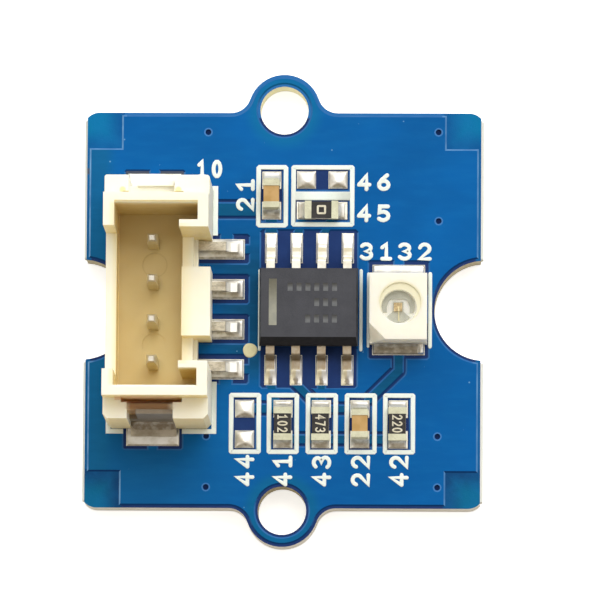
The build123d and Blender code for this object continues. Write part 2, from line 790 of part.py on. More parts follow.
# Solder at the photodiode ends
diode_solder = []
for sign in (-1, 1):
    inner = diode_y + sign * diode_l / 2
    outer = diode_y + sign * (diode_pad_out - 0.02)
    diode_solder.append(end_solder(diode_x, inner, outer, diode_pad_w - 0.06, 0.42))
save("photodiode_solder", solids(diode_solder))

# Solder film on the socket pads, with a lump at each foot
connector_solder = []
for y, pin_y in zip(signal_ys, pin_ys):
    film = block(housing_x1 + 0.06, signal_pad_x1 - 0.02, y - signal_pad_w / 2 + 0.02,
                 y + signal_pad_w / 2 - 0.02, deck, deck + solder_film)
    a = (tail_end_x, signal_pad_x1 - 0.1, y - 0.44, y + 0.44)
    b = (tail_end_x, tail_end_x + 0.08, pin_y - 0.2, pin_y + 0.2)
    film += taper(a, b, deck + solder_film, deck + solder_film + 0.22)
    connector_solder.append(film)
for sign in (1, -1):
    outer = hy(sign * foot_out)
    edge = sign * (anchor_pad_out - 0.02)
    x0 = anchor_pad_x - anchor_pad_w / 2 + 0.03
    x1 = anchor_pad_x + anchor_pad_w / 2 - 0.03
    film = block(x0, x1, hy(sign * (base_half + 0.02)), edge, deck, deck + solder_film)
    film += block(recess_x0 + 0.03, recess_x1 - 0.03, hy(sign * (plate_in + 0.03)),
                  hy(sign * (base_half + 0.02)), deck, deck + solder_film)
    a = (x0 + 0.05, x1 - 0.02, outer, edge - sign * 0.04)
    b = (recess_x0 + 0.1, recess_x1 - 0.1, outer, outer + sign * 0.06)
    film += taper(a, b, deck + solder_film, deck + solder_film + 0.19)
    connector_solder.append(film)
save("connector_solder", solids(connector_solder))
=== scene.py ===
import math

import bpy
from mathutils import Matrix, Vector


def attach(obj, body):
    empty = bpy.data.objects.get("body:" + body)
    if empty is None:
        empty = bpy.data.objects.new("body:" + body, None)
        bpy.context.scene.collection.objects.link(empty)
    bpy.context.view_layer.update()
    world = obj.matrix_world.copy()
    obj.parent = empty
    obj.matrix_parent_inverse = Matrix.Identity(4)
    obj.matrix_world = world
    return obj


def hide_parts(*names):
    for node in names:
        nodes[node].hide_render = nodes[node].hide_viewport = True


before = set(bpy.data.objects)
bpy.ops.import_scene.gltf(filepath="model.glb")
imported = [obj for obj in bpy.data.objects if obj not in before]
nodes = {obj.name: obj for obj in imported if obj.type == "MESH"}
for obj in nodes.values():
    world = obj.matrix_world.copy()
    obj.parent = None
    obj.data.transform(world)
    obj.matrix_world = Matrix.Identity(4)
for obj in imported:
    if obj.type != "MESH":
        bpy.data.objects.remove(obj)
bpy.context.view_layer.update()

# Lengths are in millimetres, but for the floor and the lamps. The origin is under the board's middle.
MM = 0.001
LAMINATE = 1.56
DECK = 1.6
EAR_Y = 10.0
HOLE_R = 1.2
ROW_Y = -5.69
ROW_XS = (-1.86, 0.02, 1.95, 3.88, 5.78)
RESISTOR_XS = (0.015, 1.89, 5.7)
CHIP_TOP = DECK + 0.45
SOCKET_Y = 0.08
SOCKET_TOP = DECK + 6.2
CAVITY_X = -8.165
PIN_PITCH = 2.0
AMP_X, AMP_Y, AMP_PITCH = 1.29, 0.05, 1.27
AMP_TOP = DECK + 1.52
DIODE_X, DIODE_Y = 5.73, 0.02
WELL_X, WELL_Y, WELL_R = 5.84, 0.16, 1.0
WINDOW_TOP = DECK + 1.67


# Materials

def rgb(code):
    """Linear colour of an sRGB hex code."""
    values = [int(code[i:i + 2], 16) / 255 for i in (1, 3, 5)]
    line = [v / 12.92 if v <= 0.04045 else ((v + 0.055) / 1.055) ** 2.4 for v in values]
    return (*line, 1.0)


class Graph:
    """A node material round one Principled shader. Masks and amounts run from 0 to 1."""

    def __init__(self, name, rough=0.5, metal=0.0, level=0.5):
        self.mat = bpy.data.materials.new(name)
        self.mat.use_nodes = True
        self.tree = self.mat.node_tree
        self.tree.nodes.clear()
        self.out = self.node("ShaderNodeOutputMaterial")
        self.shader = self.node("ShaderNodeBsdfPrincipled")
        self.tree.links.new(self.shader.outputs[0], self.out.inputs[0])
        self.set("Roughness", rough)
        self.set("Metallic", metal)
        self.set("Specular IOR Level", level)
        coords = self.node("ShaderNodeTexCoord")
        scaled = self.node("ShaderNodeVectorMath", operation="SCALE")
        scaled.inputs["Scale"].default_value = 1 / MM
        self.tree.links.new(coords.outputs["Object"], scaled.inputs[0])
        self.point = scaled.outputs[0]
        split = self.node("ShaderNodeSeparateXYZ")
        self.tree.links.new(self.point, split.inputs[0])
        self.x, self.y, self.z = split.outputs
        self.heights = None

    def node(self, kind, **values):
        made = self.tree.nodes.new(kind)
        for key, value in values.items():
            setattr(made, key, value)
        return made

    def put(self, socket, value):
        """Links the value to the socket, or sets it there if it is constant."""
        if hasattr(value, "is_linked"):
            self.tree.links.new(value, socket)
        else:
            socket.default_value = value

    def set(self, name, value):
        self.put(self.shader.inputs[name], value)

    def moved(self, scale=(1, 1, 1), shift=(0, 0, 0), turn=0.0):
        made = self.node("ShaderNodeMapping")
        made.inputs["Scale"].default_value = scale
        made.inputs["Location"].default_value = shift
        made.inputs["Rotation"].default_value = (0, 0, math.radians(turn))
        self.put(made.inputs["Vector"], self.point)
        return made.outputs[0]

    def noise(self, size, detail=3.0, rough=0.5, where=None):
        made = self.node("ShaderNodeTexNoise")
        self.put(made.inputs["Vector"], where or self.point)
        made.inputs["Scale"].default_value = 1.0 / size
        made.inputs["Detail"].default_value = detail
        made.inputs["Roughness"].default_value = rough
        return made.outputs[0]

    def cells(self, size, where=None):
        made = self.node("ShaderNodeTexVoronoi")
        self.put(made.inputs["Vector"], where or self.point)
        made.inputs["Scale"].default_value = 1.0 / size
        return made.outputs["Distance"]

    def span(self, value, low, high, start=0.0, end=1.0, smooth=True):
        """Goes from start to end while the value goes from low to high, either way round."""
        made = self.node("ShaderNodeMapRange")
        made.interpolation_type = "SMOOTHSTEP" if smooth else "LINEAR"
        self.put(made.inputs["Value"], value)
        for key, number in (("From Min", low), ("From Max", high), ("To Min", start), ("To Max", end)):
            made.inputs[key].default_value = number
        return made.outputs[0]

    def band(self, value, foot, rise, fall, end):
        """Rises from foot to rise, stays at 1 and falls from fall to end."""
        return self.product(self.span(value, foot, rise), self.span(value, end, fall))

    def calc(self, operation, a, b=0.0):
        made = self.node("ShaderNodeMath", operation=operation)
        self.put(made.inputs[0], a)
        self.put(made.inputs[1], b)
        return made.outputs[0]

    def product(self, *factors):
        result = factors[0]
        for factor in factors[1:]:
            result = self.calc("MULTIPLY", result, factor)
        return result

    def off(self, value, middle=0.0):
        """How far the value is from the middle."""
        return self.calc("ABSOLUTE", self.calc("SUBTRACT", value, middle))

    def mix(self, amount, a, b):
        made = self.node("ShaderNodeMix", data_type="RGBA")
        self.put(made.inputs["Factor"], amount)
        self.put(made.inputs[6], a)
        self.put(made.inputs[7], b)
        return made.outputs[2]

    def between(self, amount, first, second):
        """A mix of two colours."""
        return self.mix(amount, rgb(first), rgb(second))

    def tint(self, tone, colour, *masks):
        """The tone with a colour over it, as strong as the product of the masks."""
        return self.mix(self.product(*masks), tone, rgb(colour))

    def distance(self, x, y):
        """Distance from the upright line through (x, y)."""
        dx = self.calc("SUBTRACT", self.x, x)
        dy = self.calc("SUBTRACT", self.y, y)
        return self.calc("SQRT", self.calc("ADD", self.product(dx, dx), self.product(dy, dy)))

    def round_spot(self, x, y, full, none):
        """1 at the radius full round the point (x, y) and 0 at the radius none, held beyond both."""
        return self.span(self.distance(x, y), full, none, 1.0, 0.0)

    def facing(self, axis):
        """Part of the surface normal along one axis."""
        made = self.node("ShaderNodeNewGeometry")
        split = self.node("ShaderNodeSeparateXYZ")
        self.tree.links.new(made.outputs["Normal"], split.inputs[0])
        return split.outputs[axis]

    def bump(self, height, depth, strength=1.0):
        """Adds a bump over those that are there."""
        made = self.node("ShaderNodeBump")
        made.inputs["Strength"].default_value = strength
        made.inputs["Distance"].default_value = depth * MM
        self.put(made.inputs["Height"], height)
        if self.heights is not None:
            self.put(made.inputs["Normal"], self.heights)
        self.heights = made.outputs[0]
        self.set("Normal", self.heights)

    def translucent(self, weight, radius, scale):
        self.set("Subsurface Weight", weight)
        self.shader.inputs["Subsurface Radius"].default_value = radius
        self.set("Subsurface Scale", scale * MM)


def board_material():
    """Mask on the laminate, the fibres of its milled edges and the torn webs at its sides."""
    g = Graph("board_mask", rough=0.4, level=0.06)
    away_x = g.off(g.x)
    near_corner = g.calc("MINIMUM", away_x, g.off(g.y))
    # Painted light: the bare corners are lighter towards the far side, where the light comes from
    north = g.span(g.y, -5.0, 5.0)
    inner = g.between(north, "#0d3f6f", "#06538f")
    outer = g.between(north, "#06628a", "#036e9f")
    corner = g.mix(g.span(near_corner, 8.1, 9.2), inner, outer)
    corner = g.tint(corner, "#0f6aa6", g.span(g.noise(1.1, 3), 0.35, 0.7, 0.0, 0.35))
    top = g.between(g.noise(0.9, 4, 0.6), "#182b5c", "#243e72")
    # Painted highlights along the board's far edge and its side edges
    top = g.tint(top, "#2a6aa8", g.span(g.y, 9.58, 9.66))
    top = g.tint(top, "#125a92", g.span(away_x, 9.5, 9.6))
    top = g.mix(g.span(near_corner, 7.92, 8.0), top, corner)
    behind_socket = g.product(g.band(g.y, 6.76, 6.8, 7.05, 7.1), g.span(g.x, -4.8, -4.85))
    top = g.tint(top, "#4c5058", behind_socket, 0.8)
    fibres = g.noise(0.12, 5, 0.7, g.moved(scale=(0.35, 0.35, 2.2)))
    torn = g.noise(0.1, 4, 0.7, g.moved(scale=(1.0, 0.3, 1.0)))
    cut = g.between(fibres, "#ad9a70", "#ddd9c6")
    cut = g.mix(g.span(away_x, 9.79, 9.81), cut, g.between(torn, "#d4d8d0", "#f1f3ee"))
    # Painted light on the near face of the cut, which stands in shade
    clear_of_hole = g.span(g.round_spot(0.0, -EAR_Y, HOLE_R + 0.05, HOLE_R + 0.15), 1.0, 0.0)
    near_side = g.product(g.span(g.facing(1), -0.25, -0.5), g.span(g.y, -8.5, -9.0), clear_of_hole)
    cut = g.tint(cut, "#f0ece4", near_side, 0.75)
    # Painted light on the wall of the far hole, which stands in shade
    cut = g.tint(cut, "#fffbe0", g.round_spot(0.0, EAR_Y, HOLE_R + 0.05, HOLE_R + 0.15))
    level = g.span(g.off(g.facing(2)), 0.35, 0.75)
    g.set("Base Color", g.mix(level, cut, top))
    g.set("Roughness", g.span(level, 0, 1, 0.85, 0.38))
    g.bump(g.noise(0.16, 4, 0.7), 0.02, 0.6)
    g.bump(g.noise(2.5, 2), 0.05, 0.25)
    return g.mat


def plane_material(name, light, dark):
    """Mask over copper: painted shade towards the near left, at the left edge and under the parts, and
    duller round the ears.
    """
    g = Graph(name, rough=0.36, level=0.06)
    cloud = g.noise(3.2, 3, 0.5, g.moved(scale=(0.6, 1.0, 1.0)))
    tone = g.between(g.span(cloud, 0.3, 0.7), light, dark)
    # Painted shade towards the near left, at the left edge and under the parts
    tone = g.tint(tone, "#0d5c90", g.span(g.y, 2.5, -6.5), g.span(g.x, 1.0, -8.5), 0.7)
    tone = g.tint(tone, "#0c5b88", g.span(g.x, -8.2, -9.0), 0.8)
    middle = g.product(g.band(g.x, -4.4, -2.2, 2.4, 4.4), g.band(g.y, -4.4, -2.6, 1.8, 5.2))
    tone = g.tint(tone, "#0a4766", middle, 0.75)
    tone = g.tint(tone, "#0b6183", g.round_spot(0.0, -EAR_Y, 1.5, 2.1), 0.6)
    tone = g.tint(tone, "#0b6c98", g.round_spot(0.0, EAR_Y, 1.3, 2.2), 0.7)
    streaks = g.noise(0.5, 3, 0.6, g.moved(scale=(0.3, 1.4, 1.0)))
    tone = g.tint(tone, "#1878b4", g.span(streaks, 0.4, 0.75, 0.0, 0.12))
    flecks = g.span(g.cells(0.55, g.moved(shift=(3.3, 1.7, 0))), 0.05, 0.1, 1.0, 0.0)
    rare = g.span(g.noise(0.8, 1, 0.5, g.moved(shift=(9, 4, 0))), 0.58, 0.62)
    g.set("Base Color", g.tint(tone, "#7fb6d4", flecks, rare, 0.55))
    g.set("Roughness", g.span(g.noise(0.7, 3), 0.3, 0.7, 0.3, 0.44))
    g.bump(g.noise(0.35, 3, 0.5), 0.012, 0.5)
    g.bump(g.noise(3.0, 2), 0.08, 0.3)
    return g.mat


def plug_material():
    """Mask that fills the plated holes, darker down in the dish."""
    g = Graph("hole_plug", rough=0.35, level=0.06)
    rim = g.between(g.noise(0.2, 2), "#3a72b2", "#4379b4")
    g.set("Base Color", g.tint(rim, "#0b2552", g.span(g.z, DECK - 0.02, DECK - 0.08)))
    g.bump(g.noise(0.15, 2), 0.006, 0.4)
    return g.mat


def slope_material():
    """Mask on the slope at the copper's edge: pale where it faces the light."""
    g = Graph("mask_slope", rough=0.4, level=0.06)
    away_x = g.off(g.x)
    corners = g.span(g.calc("MINIMUM", away_x, g.off(g.y)), 7.8, 7.9)
    rim = g.calc("MAXIMUM", g.span(away_x, 9.3, 9.5), corners)
    uneven = g.span(g.noise(1.6, 3, 0.6), 0.35, 0.65, 0.5, 1.0)
    westward = g.span(g.facing(0), -0.2, -0.6, 0.5, 1.0)
    pale = g.between(g.product(g.span(rim, 0, 1, 0.22, 0.8), uneven, westward), "#0c5696", "#86b6de")
    shade = g.between(g.round_spot(0.0, EAR_Y + 0.4, 1.6, 1.9), "#0c3566", "#0c5682")
    g.set("Base Color", g.mix(g.span(g.facing(1), -0.28, -0.02), shade, pale))
    g.bump(g.noise(0.2, 3, 0.5), 0.01, 0.5)
    return g.mat


def silk_material():
    g = Graph("silk_print", rough=0.55, level=0.35)
    tone = g.between(g.noise(0.12, 3, 0.6), "#dde6dc", "#eff3ed")
    g.set("Base Color", g.tint(tone, "#cfe0df", g.span(g.noise(1.4, 2), 0.4, 0.75, 0, 0.35)))
    g.bump(g.noise(0.09, 3, 0.6), 0.01, 0.6)
    return g.mat


def dot_material():
    g = Graph("silk_dot", rough=0.6, level=0.3)
    g.set("Base Color", g.between(g.noise(0.2, 3), "#d6cf9e", "#e9e3bc"))
    g.bump(g.noise(0.1, 3, 0.6), 0.01, 0.5)
    return g.mat


def metal_graph(name, light, dark, low=0.22, high=0.42, grain=0.1, depth=0.012, stretch=(1, 1, 1),
                metal=0.85):
    """A metal with cloudy colour and fine grain, and its tone for further tints."""
    g = Graph(name, metal=metal)
    tone = g.between(g.span(g.noise(0.5, 3, 0.5), 0.35, 0.75), light, dark)
    g.set("Base Color", tone)
    fine = g.noise(grain, 3, 0.6, g.moved(scale=stretch))
    g.set("Roughness", g.span(fine, 0.3, 0.7, low, high))
    g.bump(fine, depth, 0.35)
    return g, tone


def metal_material(*args, **more):
    return metal_graph(*args, **more)[0].mat


def lead_joint_tone(g, tone):
    """The amplifier's near joints: painted reflections, gold at the left and white at the right, and
    painted shade at the toe's middle and at the root.
    """
    across = g.calc("FLOORED_MODULO", g.calc("SUBTRACT", g.x, AMP_X), AMP_PITCH)
    local = g.calc("SUBTRACT", across, AMP_PITCH / 2)
    wavy = g.product(g.calc("SUBTRACT", g.noise(0.2, 3, 0.6), 0.5), 0.16)
    here = g.product(g.band(g.y, -3.85, -3.75, -2.0, -1.9), g.span(g.off(g.x, AMP_X), 2.35, 2.3))
    right = g.span(g.calc("ADD", local, wavy), -0.05, 0.05)
    # Painted reflections: gold at the joint's left, white at its right
    tone = g.mix(g.product(here, 0.9), tone, g.between(right, "#fcf3d4", "#ffffff"))
    # Painted shade at the toe's middle and at the root
    toe = g.span(g.calc("ADD", g.off(local), wavy), 0.13, 0.06)
    tone = g.tint(tone, "#75644d", toe, g.span(g.y, -3.2, -3.5), here, 0.8)
    root = g.product(g.span(g.y, -2.75, -2.45), g.span(wavy, -0.03, 0.03, 0.4, 0.85))
    return g.tint(tone, "#6b6459", root, here)


def solder_material():
    g, tone = metal_graph("solder", "#efece4", "#d3cdbf", 0.28, 0.42, 0.12, 0.004, metal=0.7)
    mottle = g.noise(0.32, 3, 0.55, g.moved(shift=(2.0, 5.0, 0.0)))
    # Near faces get painted shade, but for the right corner of the photodiode's joint
    bright_corner = g.product(g.span(g.x, 6.62, 6.74), g.band(g.y, -2.6, -2.4, -1.4, -1.2))
    dull = g.product(g.span(g.facing(1), -0.15, -0.55), g.span(mottle, 0.4, 0.6, 0.3, 0.8))
    tone = g.tint(tone, "#a39781", dull, g.span(bright_corner, 0.0, 1.0, 1.0, 0.0))
    # Painted shade on the solder at the near anchor plate, which lies in the housing's shadow
    anchor_shade = g.product(g.band(g.y, -6.45, -6.0, -5.5, -5.3), g.span(g.x, -4.9, -5.1))
    tone = g.tint(tone, "#85796a", anchor_shade, g.span(mottle, 0.35, 0.65, 0.5, 0.85))
    # The photodiode's lower joint is darker and mottled
    darker_lower_joint = g.product(g.band(g.y, -2.24, -2.14, -1.5, -1.3), g.band(g.x, 4.4, 4.44, 6.66, 6.8))
    tone = g.tint(tone, "#8c8576", darker_lower_joint, g.span(mottle, 0.35, 0.65, 0.4, 0.75))
    g.set("Base Color", lead_joint_tone(g, tone))
    return g.mat


def pin_material():
    """Tinned brass: dull with a painted reflection of the housing in the cavity, scuffed on the tails and
    with a painted highlight at the feet.
    """
    g, tone = metal_graph("tinned_brass", "#cdc4af", "#a89c85", 0.36, 0.52, 0.05, 0.008, (0.12, 1.0, 1.0),
                          metal=0.6)
    scuffs = g.noise(0.16, 4, 0.7, g.moved(scale=(0.6, 1.3, 1.0)))
    tone = g.tint(tone, "#8b8474", g.span(scuffs, 0.45, 0.62, 0.0, 0.6))
    # A painted reflection of the cream housing on the pins in the cavity
    tone = g.tint(tone, "#d3c7a0", g.span(g.x, -4.6, -5.2))
    tone = g.tint(tone, "#cfc9ba", g.span(g.z, DECK + 3.9, DECK + 4.05))
    # A painted highlight at the feet
    g.set("Base Color", g.tint(tone, "#f6f4ec", g.span(g.x, -2.86, -2.76)))
    return g.mat


def lead_material():
    """Gull-wing leads: bright on the far side, with a painted reflection where the feet bend and the
    body's painted shadow on the near side's shoulders.
    """
    g, tone = metal_graph("lead_tin", "#e9e6da", "#d6cfba", 0.32, 0.48, 0.08, 0.004)
    away = g.off(g.y, AMP_Y)
    # A painted reflection where the feet bend
    tone = g.tint(tone, "#c4b894", g.band(away, 2.82, 2.88, 3.06, 3.12), 0.7)
    # The body's painted shadow on the near shoulders, with blotches in it
    near = g.calc("LESS_THAN", g.y, 0.0)
    shade = g.between(g.noise(0.25, 3, 0.6), "#8d7e69", "#a69780")
    tone = g.mix(g.product(near, g.span(away, 3.08, 2.94), 0.9), tone, shade)
    blotches = g.span(g.noise(0.22, 3, 0.6, g.moved(turn=35)), 0.46, 0.54)
    g.set("Base Color", g.tint(tone, "#9c8a70", near, blotches, 0.7))
    return g.mat


def end_material():
    """Tinned ends of the chip parts: greyish cream with small dull flecks."""
    g, tone = metal_graph("chip_end", "#cccbb0", "#bcb99e", 0.34, 0.5, 0.07, 0.006, metal=0.7)
    flecks = g.span(g.noise(0.08, 4, 0.75), 0.55, 0.68, 0.0, 0.5)
    g.set("Base Color", g.tint(tone, "#8f8a72", flecks))
    return g.mat


def anchor_material():
    """Anchor plates: painted light makes the far one bright, and painted shade makes the near one browner
    towards its top.
    """
    g, tone = metal_graph("anchor_metal", "#c9bfad", "#a89c88", 0.38, 0.55, 0.07, 0.006)
    far = g.span(g.y, -1.0, 1.0)
    # Painted shade on the near plate, painted light on the far one
    tone = g.tint(tone, "#7b6f61", g.span(g.z, DECK + 0.2, DECK + 1.6), g.span(far, 1.0, 0.0), 0.75)
    g.set("Base Color", g.tint(tone, "#f4f1e4", far))
    g.set("Metallic", g.span(far, 0.0, 1.0, 0.85, 0.2))
    return g.mat


def housing_material():
    """Cream plastic: painted shade in the cavity, in its slot and on walls facing the near side, and
    painted warm light on the sills, the rim and where its walls are thin.
    """
    g = Graph("housing_plastic", rough=0.42, level=0.4)
    across = g.off(g.y, SOCKET_Y)
    cavity_shade = g.between(g.noise(2.2, 3, 0.5), "#d4ba7b", "#e0ce95")
    cream_tone = g.between(g.noise(1.7, 3, 0.5), "#f8f1d8", "#fcf8e6")
    # The plastic inside the cavity gets painted shade, yellower the deeper it lies. The right limit of
    # this colour lies further out near the two ends.
    reach = g.span(g.span(across, 3.58, 3.62), 0.0, 1.0, -4.925, -4.0, smooth=False)
    right_of_reach = g.calc("GREATER_THAN", g.x, reach)
    within = g.product(g.calc("LESS_THAN", g.x, reach), g.calc("GREATER_THAN", g.x, CAVITY_X),
                       g.span(across, 4.54, 4.52))
    tone = g.mix(g.product(within, g.span(g.z, SOCKET_TOP, DECK + 5.0)), cream_tone, cavity_shade)
    # Painted warm light on the sills on the right and the rim on the left
    sills = g.product(g.span(across, 3.48, 3.44), right_of_reach, g.span(g.x, -4.25, -4.95))
    rim = g.product(g.span(g.x, -8.45, -8.2), g.calc("LESS_THAN", g.x, -8.1), g.span(across, 4.6, 4.4))
    tone = g.tint(tone, "#fbe8b0", g.calc("ADD", sills, rim), 0.6)
    # Painted warm shade on walls that face the near side, outside the cavity
    tone = g.tint(tone, "#fde3a0", g.span(g.facing(1), -0.3, -0.8), 0.85, g.span(within, 1.0, 0.0))
    # Painted shade in the slot for the near anchor plate, and in the gap beside it
    slit = g.product(g.band(g.y, -5.5, -5.45, -4.97, -4.93), g.span(g.off(g.x, -6.45), 1.2, 0.85),
                     g.span(g.z, DECK + 5.9, DECK + 5.0))
    tone = g.tint(tone, "#a67642", slit, 0.9)
    gap = g.product(g.band(g.y, -5.06, -5.02, -4.9, -4.88), g.span(g.off(g.x, -6.5), 1.62, 1.58),
                    g.span(g.z, DECK + 5.75, DECK + 5.5))
    tone = g.tint(tone, "#e6bd90", gap, 0.6)
    # Painted yellow light where the plastic's walls are thin
    for x in (-7.79, -5.05):
        height = g.band(g.z, DECK + 4.6, DECK + 4.8, DECK + 5.0, DECK + 5.1)
        tone = g.tint(tone, "#e4d894", g.round_spot(x, 5.36, 0.1, 0.2), height, 0.8)
    # A faint ring is moulded in the cavity's floor
    ring = g.span(g.off(g.distance(-6.34, 2.08), 0.6), 0.05, 0.01)
    g.set("Base Color", g.tint(tone, "#a88c50", ring, 0.2, g.span(g.z, DECK + 1.4, DECK + 1.25)))
    g.translucent(0.3, (1.0, 0.85, 0.55), 0.9)
    g.set("Roughness", g.span(g.noise(0.5, 3), 0.3, 0.7, 0.36, 0.5))
    g.bump(g.noise(0.14, 3, 0.6), 0.008, 0.5)
    g.bump(g.noise(1.6, 2), 0.05, 0.3)
    return g.mat


def epoxy_material():
    """The amplifier's case, with painted shade on its near flank."""
    g = Graph("moulded_epoxy", rough=0.62, level=0.2)
    speckle = g.noise(0.07, 3, 0.7)
    tone = g.between(speckle, "#3a3b41", "#47484d")
    tone = g.tint(tone, "#515258", g.span(g.noise(1.4, 3, 0.5), 0.35, 0.75, 0.0, 0.4))
    # Painted shade on the near flank
    g.set("Base Color", g.tint(tone, "#201f22", g.span(g.facing(1), -0.35, -0.75)))
    g.set("Roughness", g.span(g.noise(0.3, 2), 0.3, 0.7, 0.52, 0.7))
    g.bump(speckle, 0.012, 0.8)
    return g.mat


def plain_plastic(name, light, dark, grain=0.12, rough=0.5, depth=0.008):
    g = Graph(name, rough=rough, level=0.4)
    g.set("Base Color", g.between(g.span(g.noise(grain * 5, 3), 0.3, 0.7), light, dark))
    g.set("Roughness", g.span(g.noise(grain * 3, 2), 0.3, 0.7, rough - 0.08, rough + 0.08))
    g.bump(g.noise(grain, 3, 0.6), depth, 0.6)
    return g.mat


def window_material():
    """Clear resin with a painted pale reflection that turns it milky towards its edge."""
    g = Graph("clear_window", rough=0.12, level=0.5)
    g.set("Base Color", g.between(g.noise(0.8, 2), "#eee8c4", "#f3eed0"))
    # A painted pale reflection towards the window's edge
    pale_rim = g.product(g.round_spot(WELL_X - 0.07, WELL_Y - 0.21, 0.94, 0.79), 0.85)
    veil = g.calc("MAXIMUM", g.span(g.noise(0.9, 2), 0.3, 0.7, 0.1, 0.14), pale_rim)
    # Only the top face shows, so that the lower one doesn't shade what lies under it
    g.set("Alpha", g.product(veil, g.span(g.z, WINDOW_TOP - 0.03, WINDOW_TOP)))
    g.set("IOR", 1.5)
    g.set("Roughness", g.span(g.noise(0.3, 2), 0.3, 0.7, 0.08, 0.18))
    g.bump(g.noise(0.7, 2), 0.02, 0.3)
    return g.mat


def case_material():
    """The photodiode's white case, painted lighter low down and in its well where they stand in shade,
    with a painted pale yellow glow round the far side of its well.
    """
    g = Graph("diode_white", rough=0.45, level=0.4)
    # Painted light: the case is lighter low down, where its sides stand in shade
    lower = g.between(g.noise(0.3, 3), "#fff5d8", "#fffae6")
    upper = g.between(g.noise(0.5, 3), "#efe9d7", "#f6f1e2")
    tone = g.mix(g.span(g.z, DECK + 0.9, DECK + 1.3), lower, upper)
    # Painted light in the shaded well
    well = g.product(g.round_spot(WELL_X, WELL_Y, WELL_R, WELL_R + 0.05),
                     g.span(g.z, DECK + 1.72, DECK + 1.6))
    tone = g.tint(tone, "#fffdf2", well)
    # A painted pale yellow glow round the far side of the well
    halo = g.product(g.round_spot(WELL_X, WELL_Y, WELL_R, WELL_R + 0.2),
                     g.span(g.y, -0.4, 0.7, 0.0, 0.9), g.span(g.z, DECK + 1.68, DECK + 1.7))
    g.set("Base Color", g.tint(tone, "#eae2b4", halo))
    g.translucent(0.5, (1.0, 0.9, 0.7), 0.8)
    g.bump(g.noise(0.09, 3, 0.6), 0.006, 0.5)
    return g.mat


board = board_material()
plane = plane_material("copper_mask", "#025da3", "#025596")
track = plane_material("track_mask", "#085884", "#064e76")
silk = silk_material()
dot = dot_material()
tin = metal_material("tin_plate", "#efecdf", "#dcd5c0", 0.32, 0.48, 0.08, 0.004)
solder = solder_material()
lead = lead_material()
chip_end = end_material()
brass = pin_material()
anchor = anchor_material()
silver = plain_plastic("silver_frame", "#b3b4a9", "#a2a49b", 0.1, 0.45)
gold = metal_material("gold_wire", "#f1e7b8", "#dfd08e", 0.4, 0.55, 0.06, 0.004, metal=0.4)
die = plain_plastic("sensor_die", "#d8bd88", "#94743f", 0.025, 0.4, 0.004)
alumina = plain_plastic("alumina", "#e9e5d8", "#d5cfbe", 0.08, 0.6)
coat = plain_plastic("resistor_coat", "#1a1715", "#2a2522", 0.06, 0.4, 0.006)
ceramic = plain_plastic("capacitor_ceramic", "#bf9a62", "#b08a4c", 0.1, 0.5, 0.006)
housing = housing_material()
epoxy = epoxy_material()
window = window_material()
slope = slope_material()
plug = plug_material()
case = case_material()
mark = plain_plastic("mark_ink", "#dcd6c0", "#c9c2a8", 0.06, 0.6)
stripe = plain_plastic("pale_stripe", "#8f8e7f", "#85857a", 0.06, 0.65)
faint = plain_plastic("laser_mark", "#5f6061", "#585a5b", 0.06, 0.65)


def node_material(name):
    exact = {"circuit_board": board, "copper_plane": plane, "copper_tracks": track,
             "via_barrels": plug, "connector_housing": housing, "amplifier_body": epoxy,
             "photodiode_case": case, "photodiode_window": window, "photodiode_frame": silver,
             "photodiode_die": die, "photodiode_wire": gold}
    if name in exact:
        return exact[name]
    if name.startswith("resistor"):
        return {"body": alumina, "coat": coat, "ends": chip_end}[name.split("_")[-1]]
    if name.startswith("capacitor"):
        return {"body": ceramic, "ends": chip_end}[name.split("_")[-1]]
    if "lead" in name:
        return lead
    if "anchor" in name:
        return anchor
    if "pin" in name:
        return brass
    if "solder" in name:
        return solder
    return tin


# CAD nodes

# Rounding of the moulded and stamped edges, by a part of the node's name
ROUNDING = {"connector_housing": 0.09, "amplifier_body": 0.035, "photodiode_case": 0.035,
            "copper_plane": 0.012, "copper_tracks": 0.012, "circuit_board": 0.03,
            "connector_anchor": 0.03, "connector_pin": 0.03, "amplifier_lead": 0.03,
            "terminal": 0.03, "_ends": 0.03, "_coat": 0.012, "_pads": 0.015, "_body": 0.02}
FLAT_ANGLE = math.radians(1.0)
EDGE_ANGLE = math.radians(28)


def rounding(name):
    for key, width in ROUNDING.items():
        if key in name:
            return width
    return 0.0


def dress(name, item):
    """Gives a CAD node its material and rounds its edges."""
    for place in item.material_slots:
        place.material = node_material(name)
    width = rounding(name)
    if not width:
        return
    merge = item.modifiers.new("merge", "DECIMATE")
    merge.decimate_type = "DISSOLVE"
    merge.angle_limit = FLAT_ANGLE
    bevel = item.modifiers.new("rounding", "BEVEL")
    bevel.width = width * MM
    bevel.segments = 2
    bevel.limit_method = "ANGLE"
    bevel.angle_limit = EDGE_ANGLE
    bevel.harden_normals = True


for name, item in nodes.items():
    dress(name, item)


# Mesh helpers

def add_piece(name, verts, faces, mat, replaces=()):
    mesh = bpy.data.meshes.new(name)
    mesh.from_pydata([Vector(v) * MM for v in verts], [], faces)
    mesh.validate()
    mesh.polygons.foreach_set("use_smooth", [True] * len(mesh.polygons))
    mesh.materials.append(mat)
    item = bpy.data.objects.new(name, mesh)
    bpy.context.scene.collection.objects.link(item)
    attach(item, "root")
    if replaces:
        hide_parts(*replaces)


# Half widths and heights of a printed line's section, as shares of the whole
SECTION = ((-1.0, 0.0), (-0.99, 0.6), (-0.88, 0.93), (-0.65, 1.0),
           (0.65, 1.0), (0.88, 0.93), (0.99, 0.6), (1.0, 0.0))
# Widths of the sections that close a round end, as shares of the line's width
ROUND_END = (0.25, 0.6, 0.85)
SHARPEST_MITRE = 0.6


